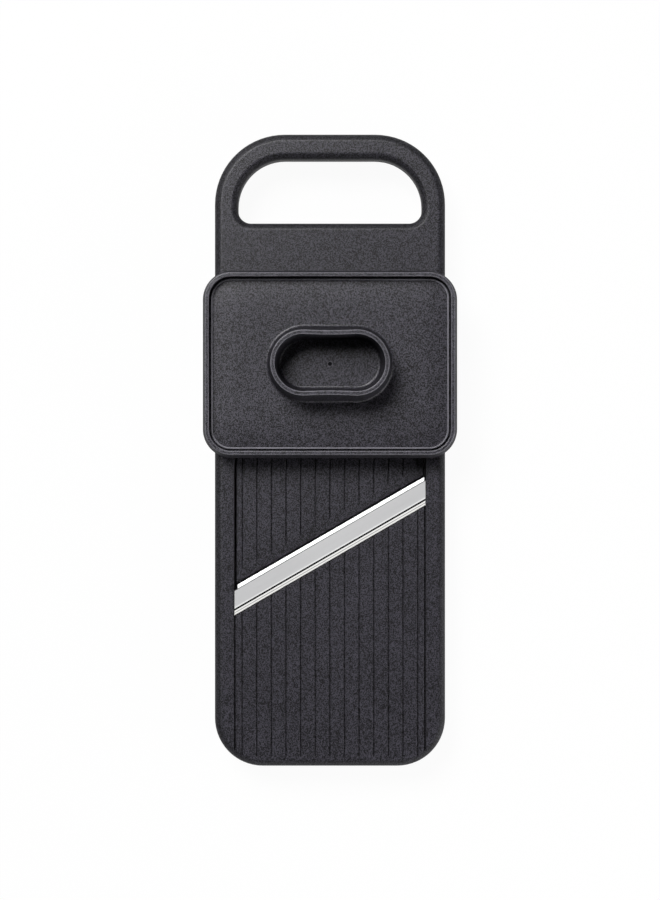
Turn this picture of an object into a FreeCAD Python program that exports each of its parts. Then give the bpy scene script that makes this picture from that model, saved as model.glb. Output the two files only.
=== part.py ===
import FreeCAD, Part
import math
import os
import Sketcher

# Hand-held mandoline slicer lying on its feet, face up. X runs across the body, Y towards the handle,
# Z up from the table. The origin is under the middle of the body.

# Driving sizes, in millimetres and degrees.
sizes = {
    # Body moulding seen from above
    "frame_length": 329,
    "frame_width": 120,
    "handle_corner": 36.4,
    "nose_corner": 25,
    "handle_bar": 13.2,
    "handle_leg": 12.1,
    "hole_side": 1.9,
    "hole_top_corner": 24.5,
    "hole_low_corner": 6.8,
    "neck_length": 37.6,
    "feed_length": 122.7,
    "rail_width": 10.25,
    # Body moulding in section
    "foot_stand": 1,
    "skin": 3,
    "wall": 2.6,
    "inner_wall": 1.8,
    "handle_under": 7,
    "rise_run": 14,
    "rise_round": 12,
    "edge_round": 4,
    "hole_round": 3.6,
    "bay_round": 0.4,
    "base_round": 1.2,
    "hollow_end": 4.5,
    "hollow_corner": 6,
    # Ribs and bosses under the body
    "rib_thick": 1.6,
    "rib_drop": 7,
    "rib_pitch": 25,
    "rib_setback": 8,
    "beam_drop": 1.5,
    "beam_width": 12,
    "beam_chamfer": 1.2,
    "hook_reach": 1.6,
    "hook_length": 9,
    "hook_thick": 1.1,
    "boss_radius": 5.5,
    "foot_inset": 17,
    "foot_nose_inset": 20,
    "foot_neck_gap": 10,
    # Thin grooves along the feed plate and the landing deck
    "groove_count": 13,
    "groove_margin": 4.15,
    "groove_width": 0.8,
    "groove_depth": 1.1,
    "groove_end": 5.2,
    "side_groove": 0.9,
    "side_groove_depth": 1.9,
    "side_groove_end": 8.5,
    # Blade and the bar that carries it, measured square to the cutting edge
    "blade_angle": 30,
    "blade_width": 10,
    "blade_thick": 0.9,
    "blade_proud": 0.25,
    "blade_end_gap": 0.15,
    "bevel_width": 1.6,
    "edge_land": 0.06,
    "notch_width": 1.9,
    "notch_left": 1.7,
    "notch_right": 0.7,
    "bridge_front": 1.5,
    "bridge_nose": 1,
    "bridge_thick": 1.2,
    "bridge_seam": 0.9,
    "lip_width": 2,
    "lip_low": 0.1,
    "deck_front": 4.5,
    "seat_gap": 0.2,
    "seat_chamfer": 0.5,
    "rivet_set": 7.6,
    "rivet_margin": 10.6,
    "rivet_radius": 1.2,
    "rivet_head": 2.1,
    "rivet_head_thick": 0.6,
    "rivet_tail": 0.9,
    # Feed plate
    "plate_side_gap": 0.9,
    "plate_end_gap": 0.6,
    "plate_thick": 2.6,
    "plate_round": 0.5,
    "throat": 0.7,
    "slice_rest": 2.3,
    "slice_thin": 0.3,
    "slice_thick": 5.3,
    "plain_strip": 4.9,
    "plate_rib_drop": 3,
    "plate_rib_x": 24,
    "exit_chamfer": 1.6,
    "lug_thick": 4,
    "lug_skin": 1.4,
    "lug_gap": 0.65,
    # Pins that carry the feed plate
    "pin_radius": 2,
    "pin_drop": 3.2,
    "pin_chamfer": 0.4,
    "pin_rear": 14,
    "pin_front": 17.4,
    "fit": 0.02,
    "run_gap": 0.3,
    "pin_play": 0.15,
    # Thickness slider
    "slot_slope": 0.2,
    "slider_clear": 1.6,
    "panel_thick": 2.6,
    "cheek_thick": 3,
    "cheek_nose": 7,
    "panel_rear": 26,
    "panel_length": 36,
    "grip_count": 6,
    "grip_pitch": 3.6,
    "grip_width": 1.7,
    "grip_length": 30,
    "grip_height": 1.4,
    # Feet
    "foot_radius": 5,
    "plug_radius": 3,
    "plug_length": 4,
    "foot_chamfer": 0.5,
    # Hand guard
    "guard_overhang": 6,
    "guard_depth": 97.2,
    "guard_corner": 15,
    "guard_park": 12.6,
    "guard_lift": 6.3,
    "guard_floor": 2.2,
    "guard_draft": 8,
    "rim_height": 5.2,
    "rim_flat": 1,
    "rim_round": 0.55,
    "seam_wide": 0.8,
    "seam_deep": 1.1,
    "bead_wide": 0.9,
    "bead_high": 1.2,
    "bead_round": 0.3,
    "skirt_wall": 2.4,
    "skirt_gap": 1.2,
    "skirt_drop": 7,
    "skirt_round": 5,
    "runner_set": 1.95,
    "runner_thick": 3,
    "runner_gap": 0.1,
    "runner_inset": 9,
    "guide_gap": 0.5,
    "guide_thick": 2,
    "guide_count": 3,
    "guide_pitch": 24,
    # Finger cup on the guard
    "cup_length": 64.2,
    "cup_width": 38.5,
    "cup_height": 18,
    "cup_lean_end": 1.75,
    "cup_lean_side": 2.5,
    "cup_flat": 1.3,
    "cup_draft": 2,
    "cup_pinch": 0.4,
    "cup_round": 0.45,
    "cup_root": 1.2,
    "gate_radius": 1,
    "gate_depth": 0.6,
    # Food pins under the guard
    "spike_column_count": 5,
    "spike_row_count": 3,
    "spike_pitch": 17,
    "spike_radius": 0.9,
    "spike_clear": 0.95,
    "spike_tip": 2,
    "spike_seat": 1.2,
    "spike_boss_radius": 2.4,
    "spike_boss_drop": 1.2,
    # How far a cutting shape runs past the surface it cuts
    "overcut": 2,
}

# How closely an edge must lie at its place to be picked.
slack = 0.001

doc = FreeCAD.newDocument("mandoline_slicer")
sheet = doc.addObject("Spreadsheet::Sheet", "dim")
for row, (alias, amount) in enumerate(sizes.items(), start=1):
    sheet.set("A%d" % row, alias)
    sheet.set("B%d" % row, str(amount))
    sheet.setAlias("B%d" % row, alias)
gauge = doc.addObject("App::VarSet", "gauge")
gauge.addProperty("App::PropertyFloat", "reading")
doc.recompute()

# Places worked out from the driving sizes, as formulas that the pieces are bound to.
# Across and along the body
half_width = "(dim.frame_width / 2)"
half_length = "(dim.frame_length / 2)"
channel = f"({half_width} - dim.rail_width)"
inner_face = f"({channel} + dim.inner_wall)"
outer_face = f"({half_width} - dim.wall)"
hole_half = f"({half_width} - dim.handle_leg)"
hole_top = f"({half_length} - dim.handle_bar)"
hole_low = f"({hole_top} - dim.hole_low_corner - dim.hole_side - dim.hole_top_corner)"
feed_top = f"({hole_low} - dim.neck_length)"
blade_y = f"({feed_top} - dim.feed_length)"
hollow_top = f"({hole_low} - dim.hollow_end)"
nose_inside = f"(dim.wall - {half_length})"
foot_x = f"({half_width} - dim.foot_inset)"
groove_first = f"(dim.groove_margin - {channel})"
blade_end = f"({channel} - dim.blade_end_gap)"
bridge_back = "(dim.blade_width + dim.bridge_seam + dim.lip_width)"
beam_back = "(dim.deck_front + dim.beam_width)"
plate_half = f"({channel} - dim.plate_side_gap)"
plate_end = f"({feed_top} - dim.plate_end_gap)"
lug_out = f"({plate_half} - dim.run_gap)"
lug_half = "(dim.pin_radius + dim.lug_skin)"
cheek_in = f"({inner_face} + dim.run_gap)"
cheek_out = f"({cheek_in} + dim.cheek_thick)"
panel_rear_end = f"({feed_top} - dim.panel_rear)"
panel_front_end = f"({panel_rear_end} - dim.panel_length)"
guard_x = f"({half_width} + dim.guard_overhang)"
guard_y = "(dim.guard_depth / 2)"
guard_middle = f"({feed_top} + dim.guard_park - {guard_y})"
spike_x = "(-(dim.spike_column_count - 1) / 2 * dim.spike_pitch)"
spike_y = "(-(dim.spike_row_count - 1) / 2 * dim.spike_pitch)"
# Heights, from the slider's underside up to the blade and the rails
lift_up = "(dim.slice_rest - dim.slice_thin)"
lift_down = "(dim.slice_thick - dim.slice_rest)"
slider_low = "(dim.foot_stand + dim.slider_clear)"
panel_top = f"({slider_low} + dim.panel_thick)"
inner_wall_low = f"({panel_top} + dim.run_gap)"
lug_drop = "(dim.pin_drop + dim.pin_radius + dim.lug_skin)"
plate_bottom = f"({panel_top} + dim.lug_gap + {lift_down} + {lug_drop})"
pin_level = f"({plate_bottom} - dim.pin_drop)"
plate_top = f"({plate_bottom} + dim.plate_thick)"
edge_level = f"({plate_top} + dim.slice_rest)"
bridge_bottom = f"({edge_level} - dim.bridge_thick)"
blade_top = f"({edge_level} + dim.blade_thick)"
rail_top = f"({blade_top} - dim.blade_proud)"
ceiling = f"({rail_top} - dim.skin)"
cheek_top = f"({ceiling} - dim.run_gap)"
rib_low = f"({ceiling} - dim.rib_drop)"
beam_low = f"({ceiling} - dim.beam_drop)"
# Heights of the guard
floor_under = f"({rail_top} + dim.guard_lift)"
floor_top = f"({floor_under} + dim.guard_floor)"
rim_top = f"({floor_top} + dim.rim_height)"
cup_top = f"({floor_top} + dim.cup_height)"
skirt_low = f"({rail_top} + dim.skirt_gap)"
side_low = f"({rail_top} - dim.skirt_drop)"
spike_low = f"({blade_top} + dim.spike_clear)"
# Widths that follow from roundings
rim_lean = f"(({rim_top} - {skirt_low}) * tan(dim.guard_draft * 1 deg))"
rim_wide = f"({rim_lean} + 2 * dim.rim_round + dim.rim_flat)"
cup_wall = "(2 * dim.cup_round + dim.cup_flat)"


def number(formula):
    # What a formula comes to at the present sizes.
    gauge.setExpression("reading", formula)
    gauge.recompute()
    return gauge.reading


def behind_edge(x, distance):
    # The place along Y of a point that lies so far behind the cutting edge, at this place across the body.
    slope = "tan(dim.blade_angle * 1 deg)"
    lean = "cos(dim.blade_angle * 1 deg)"
    return f"({blade_y} + ({x}) * {slope} - ({distance}) / {lean})"


# Each feed pin: its name, the side of the body it is on, and its place along the body.
pin_rear_y = f"({feed_top} - dim.pin_rear)"
pin_left_y = behind_edge(f"-{channel}", "-dim.pin_front")
pin_right_y = behind_edge(channel, "-dim.pin_front")
pin_stations = (
    ("rear_left", -1, pin_rear_y),
    ("rear_right", 1, pin_rear_y),
    ("front_left", -1, pin_left_y),
    ("front_right", 1, pin_right_y),
)
# The slider's cheeks reach past the slots of the outermost pins.
slot_back = f"({lift_down} / dim.slot_slope)"
slot_ahead = f"({lift_up} / dim.slot_slope)"
cheek_rear_end = f"({pin_rear_y} + {slot_back} + dim.cheek_nose)"
cheek_front_end = f"({pin_left_y} - {slot_ahead} - dim.cheek_nose)"
# Each foot: its name, side, and place along the body.
foot_nose_y = f"(dim.foot_nose_inset - {half_length})"
foot_neck_y = f"({feed_top} + dim.foot_neck_gap)"
foot_stations = (
    ("nose_left", -1, foot_nose_y),
    ("nose_right", 1, foot_nose_y),
    ("neck_left", -1, foot_neck_y),
    ("neck_right", 1, foot_neck_y),
)
# Each blade rivet: its number, and its place across and along the body.
rivet_count = 4
rivet_stations = []
for turn in range(rivet_count):
    share = f"({2 * turn} / {rivet_count - 1} - 1)"
    across = f"({share} * ({blade_end} - dim.rivet_margin))"
    rivet_stations.append((turn + 1, across, behind_edge(across, "dim.rivet_set")))


def new_body(label):
    body = doc.addObject("PartDesign::Body", label)
    body.Label = label
    return body


def origin_item(body, role):
    return [item for item in body.Origin.OriginFeatures if item.Role == role][0]


def sketch_on(body, role, name, level=None):
    sketch = body.newObject("Sketcher::SketchObject", name)
    sketch.AttachmentSupport = (origin_item(body, role), [""])
    sketch.MapMode = "FlatFace"
    if level:
        sketch.setExpression("AttachmentOffset.Base.z", level)
    return sketch


def rule(sketch, formula, kind, *where):
    index = sketch.addConstraint(Sketcher.Constraint(kind, *where))
    sketch.setExpression("Constraints[%d]" % index, formula)


def pin_point(sketch, item, point, x, y):
    place = sketch.getPoint(item, point)
    rule(sketch, x, "DistanceX", -1, 1, item, point, place.x)
    rule(sketch, y, "DistanceY", -1, 1, item, point, place.y)


def polygon(sketch, points):
    # A closed outline of straight lines. It is drawn roughly, then its corners are pinned to the formulas.
    count = len(points)
    radius = 30
    angles = [turn * math.tau / count for turn in range(count)]
    rough = [FreeCAD.Vector(radius * math.cos(angle), radius * math.sin(angle), 0) for angle in angles]
    lines = [sketch.addGeometry(Part.LineSegment(rough[turn], rough[(turn + 1) % count]))
             for turn in range(count)]
    for turn in range(count):
        sketch.addConstraint(Sketcher.Constraint("Coincident", lines[turn], 2, lines[(turn + 1) % count], 1))
    for line, (x, y) in zip(lines, points):
        pin_point(sketch, line, 1, x, y)


def rectangle(sketch, left, right, low, high):
    polygon(sketch, ((left, low), (right, low), (right, high), (left, high)))


def circle(sketch, x, y, radius):
    rough = 2
    item = sketch.addGeometry(Part.Circle(FreeCAD.Vector(1, 1, 0), FreeCAD.Vector(0, 0, 1), rough))
    pin_point(sketch, item, 3, x, y)
    rule(sketch, radius, "Radius", item, rough)


def rounded(sketch, left, right, low, high, low_corner, high_corner):
    # A rectangle with round corners, drawn roughly and then pinned.
    half = 20
    corner = 5
    run = half - corner
    up = FreeCAD.Vector(0, 0, 1)
    ends = (((-run, -half), (run, -half)), ((half, -run), (half, run)),
            ((run, half), (-run, half)), ((-half, run), (-half, -run)))
    lines = [sketch.addGeometry(Part.LineSegment(FreeCAD.Vector(*start, 0), FreeCAD.Vector(*end, 0)))
             for start, end in ends]
    arcs = []
    for turn, (x, y) in enumerate(((run, -run), (run, run), (-run, run), (-run, -run))):
        start = (turn - 1) * math.pi / 2
        arc = Part.ArcOfCircle(Part.Circle(FreeCAD.Vector(x, y, 0), up, corner), start, start + math.pi / 2)
        arcs.append(sketch.addGeometry(arc))
    for turn in range(4):
        sketch.addConstraint(Sketcher.Constraint("Tangent", lines[turn], 2, arcs[turn], 1))
        sketch.addConstraint(Sketcher.Constraint("Tangent", arcs[turn], 2, lines[(turn + 1) % 4], 1))
        sketch.addConstraint(Sketcher.Constraint(("Horizontal", "Vertical")[turn % 2], lines[turn]))
        rule(sketch, (low_corner, high_corner)[turn in (1, 2)], "Radius", arcs[turn], corner)
    rule(sketch, low, "DistanceY", -1, 1, lines[0], 1, -half)
    rule(sketch, right, "DistanceX", -1, 1, lines[1], 1, half)
    rule(sketch, high, "DistanceY", -1, 1, lines[2], 1, half)
    rule(sketch, left, "DistanceX", -1, 1, lines[3], 1, -half)


def oval(sketch, length, width, pinch=None):
    # Two half circles joined by straight sides, or by sides that the pinch draws in.
    run = 15
    radius = 17
    side_radius = 113
    half_run = f"(({length}) - ({width})) / 2"
    up = FreeCAD.Vector(0, 0, 1)
    right = Part.ArcOfCircle(Part.Circle(FreeCAD.Vector(run, 0, 0), up, radius), -math.pi / 2, math.pi / 2)
    left = Part.ArcOfCircle(Part.Circle(FreeCAD.Vector(-run, 0, 0), up, radius), math.pi / 2, 3 * math.pi / 2)
    ends = [sketch.addGeometry(right), sketch.addGeometry(left)]
    sides = []
    for sign in (1, -1):
        start = FreeCAD.Vector(sign * run, sign * radius, 0)
        finish = FreeCAD.Vector(-sign * run, sign * radius, 0)
        middle = FreeCAD.Vector(0, sign * (radius - 1), 0)
        shape = Part.Arc(finish, middle, start) if pinch else Part.LineSegment(finish, start)
        sides.append(sketch.addGeometry(shape))
    for end, sign in zip(ends, (1, -1)):
        pin_point(sketch, end, 3, f"{sign} * {half_run}", "0")
        rule(sketch, f"({width}) / 2", "Radius", end, radius)
    for side, near, far in ((sides[0], ends[0], ends[1]), (sides[1], ends[1], ends[0])):
        sketch.addConstraint(Sketcher.Constraint("Tangent", side, 2, near, 2))
        sketch.addConstraint(Sketcher.Constraint("Tangent", side, 1, far, 1))
        if pinch:
            both_radii = f"(({half_run}) ^ 2 + {pinch} ^ 2) / (2 * {pinch})"
            rule(sketch, f"{both_radii} - ({width}) / 2", "Radius", side, side_radius)


def pad(body, sketch, length, backwards=False, both_ways=False, taper=None):
    item = body.newObject("PartDesign::Pad", sketch.Name + "_pad")
    item.Profile = sketch
    item.setExpression("Length", length)
    item.SideType = "Symmetric" if both_ways else "One side"
    item.Reversed = backwards
    if taper:
        item.setExpression("TaperAngle", taper)
    return item


def pocket(body, sketch, depth=None, backwards=False, both_ways=False):
    item = body.newObject("PartDesign::Pocket", sketch.Name + "_cut")
    item.Profile = sketch
    item.SideType = "Symmetric" if both_ways else "One side"
    item.Reversed = backwards
    if depth:
        item.setExpression("Length", depth)
    else:
        item.Type = "ThroughAll"
    return item


def repeat(body, feature, axis, span, count, second=None):
    # Copies of a feature in a row along one axis of its body, or in a field along two.
    item = body.newObject("PartDesign::LinearPattern", feature.Name + "_row")
    item.Originals = [feature]
    item.Direction = (origin_item(body, axis), [""])
    item.setExpression("Length", span)
    item.setExpression("Occurrences", count)
    if second:
        item.Direction2 = (origin_item(body, second[0]), [""])
        item.setExpression("Length2", second[1])
        item.setExpression("Occurrences2", second[2])
    body.Tip = item
    return item


def edges_where(feature, test):
    doc.recompute()
    return ["Edge%d" % index for index, edge in enumerate(feature.Shape.Edges, start=1) if test(edge)]


def round_edges(body, feature, name, radius, test):
    item = body.newObject("PartDesign::Fillet", name)
    item.Base = (feature, edges_where(feature, test))
    item.setExpression("Radius", radius)
    body.Tip = item
    return item


def at_level(edge, level):
    return abs(edge.BoundBox.ZMin - level) < slack and abs(edge.BoundBox.ZMax - level) < slack


def inside_box(edge, half_x, low_y, high_y):
    box = edge.BoundBox
    across = box.XMax < half_x + slack and box.XMin > -half_x - slack
    return across and box.YMin > low_y - slack and box.YMax < high_y + slack


def blade_line(level, distance):
    # A test for edges that lie at this level, on the line so far behind the cutting edge.
    height = number(level)
    start = number(behind_edge("0", distance))
    slope = number("tan(dim.blade_angle * 1 deg)")

    def lies_on_line(edge):
        middle = edge.CenterOfMass
        return at_level(edge, height) and abs(middle.y - start - middle.x * slope) < slack

    return lies_on_line


def bevel_edges(body, feature, name, width, test, other_width=None):
    item = body.newObject("PartDesign::Chamfer", name)
    item.Base = (feature, edges_where(feature, test))
    item.setExpression("Size", width)
    if other_width:
        item.ChamferType = "Two distances"
        item.setExpression("Size2", other_width)
    body.Tip = item
    return item


def blade_strip(sketch, half_span, front, back):
    # A strip across the body, parallel to the cutting edge, with its ends square to the body.
    polygon(sketch, ((f"-{half_span}", behind_edge(f"-{half_span}", back)),
                     (half_span, behind_edge(half_span, back)),
                     (half_span, behind_edge(half_span, front)),
                     (f"-{half_span}", behind_edge(f"-{half_span}", front))))


def make_frame_shell(body):
    # Outer form: a slab with round corners, the handle hole, and an underside that rises under the handle.
    outline = sketch_on(body, "XY_Plane", "frame_outline", "dim.foot_stand")
    rounded(outline, f"-{half_width}", half_width, f"-{half_length}", half_length,
            "dim.nose_corner", "dim.handle_corner")
    pad(body, outline, f"{rail_top} - dim.foot_stand")
    hole = sketch_on(body, "XY_Plane", "handle_hole", rail_top)
    rounded(hole, f"-{hole_half}", hole_half, hole_low, hole_top,
            "dim.hole_low_corner", "dim.hole_top_corner")
    pocket(body, hole)
    rise = sketch_on(body, "YZ_Plane", "handle_rise")
    rise_foot = f"{hollow_top} - dim.rise_run"
    past_end = f"{half_length} + dim.overcut"
    polygon(rise, ((rise_foot, "dim.foot_stand"), (hollow_top, "dim.handle_under"),
                   (past_end, "dim.handle_under"), (past_end, "dim.foot_stand")))
    last = pocket(body, rise, "dim.frame_width + dim.overcut", both_ways=True)
    top_level = number(rail_top)
    handle_level = number("dim.handle_under")
    base_level = number("dim.foot_stand")
    bends = (number(rise_foot), number(hollow_top))
    hole_reach = number(hole_half)
    hole_span = (number(hole_low), number(hole_top))
    nose_end = -number(half_length)

    def is_bend(edge):
        box = edge.BoundBox
        low = box.ZMax < handle_level + slack
        at_bend = any(abs(box.YMin - bend) + abs(box.YMax - bend) < slack for bend in bends)
        return low and at_bend and box.XLength > hole_reach

    def is_hole_edge(edge):
        level = at_level(edge, top_level) or at_level(edge, handle_level)
        return level and inside_box(edge, hole_reach, *hole_span)

    def is_outer_top(edge):
        return at_level(edge, top_level) and not inside_box(edge, hole_reach, *hole_span)

    def is_nose_base(edge):
        return at_level(edge, base_level) and edge.BoundBox.YMax < nose_end + slack

    last = round_edges(body, last, "rise_bends", "dim.rise_round", is_bend)
    last = round_edges(body, last, "top_round", "dim.edge_round", is_outer_top)
    last = round_edges(body, last, "hole_rounds", "dim.hole_round", is_hole_edge)
    round_edges(body, last, "base_edge_round", "dim.base_round", is_nose_base)


def hollow_frame(body):
    # The underside is hollow up to the skin, and the feed bay is open from above.
    hollow = sketch_on(body, "XY_Plane", "hollow", "dim.foot_stand")
    rounded(hollow, f"-{outer_face}", outer_face, nose_inside, hollow_top,
            "dim.nose_corner - dim.wall", "dim.hollow_corner")
    pocket(body, hollow, f"{ceiling} - dim.foot_stand", backwards=True)
    bay = sketch_on(body, "XY_Plane", "feed_bay", rail_top)
    polygon(bay, ((f"-{channel}", behind_edge(f"-{channel}", "dim.deck_front")),
                  (channel, behind_edge(channel, "dim.deck_front")), (channel, feed_top),
                  (f"-{channel}", feed_top)))
    pocket(body, bay)


def brace_frame(body):
    # Inner rail walls, the wall at the bay's top end, the beam under the blade, and ribs.
    bay_low = behind_edge(f"-{channel}", beam_back)
    end = f"{feed_top} + dim.inner_wall"
    walls = sketch_on(body, "XY_Plane", "inner_walls", inner_wall_low)
    rectangle(walls, channel, inner_face, bay_low, end)
    rectangle(walls, f"-{inner_face}", f"-{channel}", bay_low, end)
    pad(body, walls, f"{ceiling} - {inner_wall_low}")
    end_wall = sketch_on(body, "XY_Plane", "bay_end_wall", inner_wall_low)
    rectangle(end_wall, f"-{inner_face}", inner_face, feed_top, end)
    pad(body, end_wall, f"{ceiling} - {inner_wall_low}")
    beam = sketch_on(body, "XY_Plane", "blade_beam", beam_low)
    blade_strip(beam, inner_face, "dim.deck_front", beam_back)
    last = pad(body, beam, "dim.beam_drop")
    bevel_edges(body, last, "beam_front", "dim.beam_chamfer", blade_line(beam_low, "dim.deck_front"))
    deck_ribs = sketch_on(body, "XY_Plane", "deck_ribs", rib_low)
    neck_ribs = sketch_on(body, "XY_Plane", "neck_ribs", rib_low)
    for place in (-1, 0, 1):
        left = f"{place} * dim.rib_pitch - dim.rib_thick / 2"
        right = f"{place} * dim.rib_pitch + dim.rib_thick / 2"
        rectangle(deck_ribs, left, right, f"{nose_inside} - dim.wall / 2", f"{bay_low} - dim.rib_setback")
        rectangle(neck_ribs, left, right, f"{end} - dim.inner_wall / 2", f"{hollow_top} + dim.hollow_end / 2")
    pad(body, deck_ribs, "dim.rib_drop")
    pad(body, neck_ribs, "dim.rib_drop")


def hold_slider_and_feet(body):
    # Snap hooks that keep the thickness slider up, and bosses with sockets for the feet.
    hooks = sketch_on(body, "XY_Plane", "slider_hooks", f"{slider_low} - dim.run_gap")
    inner = f"({cheek_out} - dim.hook_reach)"
    outer = f"({outer_face} + dim.wall / 2)"
    rear_high = f"({cheek_rear_end} - {slot_back} - dim.hook_length / 2)"
    front_low = f"({cheek_front_end} + {slot_ahead} + dim.hook_length / 2)"
    rear_hook = (f"{rear_high} - dim.hook_length", rear_high)
    front_hook = (front_low, f"{front_low} + dim.hook_length")
    for low, high in (rear_hook, front_hook):
        rectangle(hooks, inner, outer, low, high)
        rectangle(hooks, f"-{outer}", f"-{inner}", low, high)
    pad(body, hooks, "dim.hook_thick", backwards=True)
    bosses = sketch_on(body, "XY_Plane", "foot_bosses", "dim.foot_stand")
    sockets = sketch_on(body, "XY_Plane", "foot_sockets", "dim.foot_stand")
    for _, side, y in foot_stations:
        circle(bosses, f"{side} * {foot_x}", y, "dim.boss_radius")
        circle(sockets, f"{side} * {foot_x}", y, "dim.plug_radius + dim.fit")
    pad(body, bosses, f"{ceiling} - dim.foot_stand")
    pocket(body, sockets, "dim.plug_length + dim.run_gap", backwards=True)


def cut_pin_guides(body):
    # Upright slots in the inner rail walls, which let the feed plate rise and fall but not slide.
    half = "(dim.pin_radius + dim.pin_play)"
    low = f"({pin_level} - {lift_down} - dim.pin_play)"
    high = f"({pin_level} + {lift_up} + dim.pin_play)"
    depth = "dim.inner_wall + dim.run_gap"
    for name, side, y in pin_stations:
        level = f"{side} * ({channel} + dim.inner_wall / 2)"
        run = sketch_on(body, "YZ_Plane", "pin_guide_" + name, level)
        rectangle(run, f"{y} - {half}", f"{y} + {half}", low, high)
        pocket(body, run, depth, both_ways=True)
        for end, end_z in (("low", low), ("high", high)):
            tip = sketch_on(body, "YZ_Plane", f"pin_guide_{end}_{name}", level)
            circle(tip, y, end_z, half)
            pocket(body, tip, depth, both_ways=True)


def cut_grooves(body, name, level, low, high):
    # Thin grooves side by side along the body, spread evenly between the rails.
    groove = sketch_on(body, "XY_Plane", name, level)
    rectangle(groove, f"{groove_first} - dim.groove_width / 2", f"{groove_first} + dim.groove_width / 2",
              low, high)
    cut = pocket(body, groove, "dim.groove_depth")
    repeat(body, cut, "X_Axis", f"-2 * {groove_first}", "dim.groove_count")


def cut_deck(body):
    # Landing deck: thin grooves, a groove beside each rail, and the blade bar's seat with its rivet holes.
    low = f"(dim.groove_end - {half_length})"
    front = "(dim.deck_front - dim.overcut)"
    high = behind_edge(channel, front)
    seat_back = f"({bridge_back} + dim.seat_gap)"
    seat = sketch_on(body, "XY_Plane", "bridge_seat", rail_top)
    blade_strip(seat, channel, front, seat_back)
    last = pocket(body, seat, f"{rail_top} - {bridge_bottom}")
    bevel_edges(body, last, "seat_edge", "dim.seat_chamfer", blade_line(rail_top, seat_back))
    cut_grooves(body, "deck_groove", rail_top, low, high)
    sides = sketch_on(body, "XY_Plane", "rail_grooves", rail_top)
    side_low_end = f"(dim.side_groove_end - {half_length})"
    rectangle(sides, f"{channel} - dim.side_groove", channel, side_low_end, high)
    rectangle(sides, f"-{channel}", f"dim.side_groove - {channel}", side_low_end, high)
    pocket(body, sides, "dim.side_groove_depth")
    holes = sketch_on(body, "XY_Plane", "rivet_holes", rail_top)
    for _, x, y in rivet_stations:
        circle(holes, x, y, "dim.rivet_radius + dim.fit")
    last = pocket(body, holes)
    top_level = number(rail_top)
    bay_side = number(channel)
    bay_end = number(feed_top)

    def is_bay_edge(edge):
        middle = edge.CenterOfMass
        on_side = abs(abs(middle.x) - bay_side) < slack
        on_end = abs(middle.y - bay_end) < slack
        return at_level(edge, top_level) and (on_side or on_end)

    round_edges(body, last, "bay_rounds", "dim.bay_round", is_bay_edge)


def make_frame():
    body = new_body("body_frame")
    make_frame_shell(body)
    hollow_frame(body)
    brace_frame(body)
    hold_slider_and_feet(body)
    cut_pin_guides(body)
    cut_deck(body)
    return body


def make_blade():
    # Ground strip with a bevel along its front and a stepped corner at each end of the bevel.
    body = new_body("slicing_blade")
    strip = sketch_on(body, "XY_Plane", "blade_strip", edge_level)
    blade_strip(strip, blade_end, "0", "dim.blade_width")
    last = pad(body, strip, "dim.blade_thick")
    bevel_edges(body, last, "bevel", "dim.blade_thick - dim.edge_land", blade_line(blade_top, "0"),
                "dim.bevel_width")
    for name, side, width in (("left", -1, "dim.notch_left"), ("right", 1, "dim.notch_right")):
        notch = sketch_on(body, "XY_Plane", "notch_" + name, blade_top)
        outer = f"{side} * ({blade_end} + dim.overcut)"
        inner = f"{side} * ({blade_end} - {width})"
        ahead = "-dim.overcut"
        polygon(notch, ((outer, behind_edge(outer, "dim.notch_width")),
                        (inner, behind_edge(inner, "dim.notch_width")),
                        (inner, behind_edge(inner, ahead)), (outer, behind_edge(outer, ahead))))
        pocket(body, notch)
    return body


def make_bridge():
    # Steel bar under the blade, with a bevelled front, a raised lip along its back and sunk rivet seats.
    body = new_body("blade_bridge")
    bar = sketch_on(body, "XY_Plane", "bridge_bar", bridge_bottom)
    blade_strip(bar, blade_end, "dim.bridge_front", bridge_back)
    last = pad(body, bar, "dim.bridge_thick")
    bevel_edges(body, last, "bridge_nose", "dim.bridge_nose", blade_line(bridge_bottom, "dim.bridge_front"))
    lip = sketch_on(body, "XY_Plane", "bridge_lip", edge_level)
    blade_strip(lip, blade_end, "dim.blade_width + dim.bridge_seam", bridge_back)
    pad(body, lip, "dim.blade_thick - dim.lip_low")
    holes = sketch_on(body, "XY_Plane", "bridge_holes", edge_level)
    sinks = sketch_on(body, "XY_Plane", "bridge_sinks", edge_level)
    for _, x, y in rivet_stations:
        circle(holes, x, y, "dim.rivet_radius + dim.fit")
        circle(sinks, x, y, "dim.rivet_head + dim.fit")
    pocket(body, holes)
    pocket(body, sinks, "dim.rivet_head_thick")
    return body


def turned_piece(label, profile, x, y):
    # A round piece turned from its half profile, then stood at its place.
    body = new_body(label)
    sketch = sketch_on(body, "XZ_Plane", label + "_profile")
    polygon(sketch, profile)
    turn = body.newObject("PartDesign::Revolution", label + "_turn")
    turn.Profile = sketch
    turn.ReferenceAxis = (sketch, ["V_Axis"])
    body.setExpression("Placement.Base.x", x)
    body.setExpression("Placement.Base.y", y)
    return body


def make_rivets():
    # Flush head in the bridge, shank through the deck, clenched tail under the beam.
    top = edge_level
    under_head = f"({top} - dim.rivet_head_thick)"
    tail = f"({beam_low} - dim.rivet_tail)"
    profile = (("0", tail), ("dim.rivet_head - dim.rivet_tail / 2", tail), ("dim.rivet_head", beam_low),
               ("dim.rivet_radius", beam_low), ("dim.rivet_radius", under_head),
               ("dim.rivet_head", under_head), ("dim.rivet_head", top), ("0", top))
    return [turned_piece("blade_rivet_%d" % which, profile, x, y) for which, x, y in rivet_stations]


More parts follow.
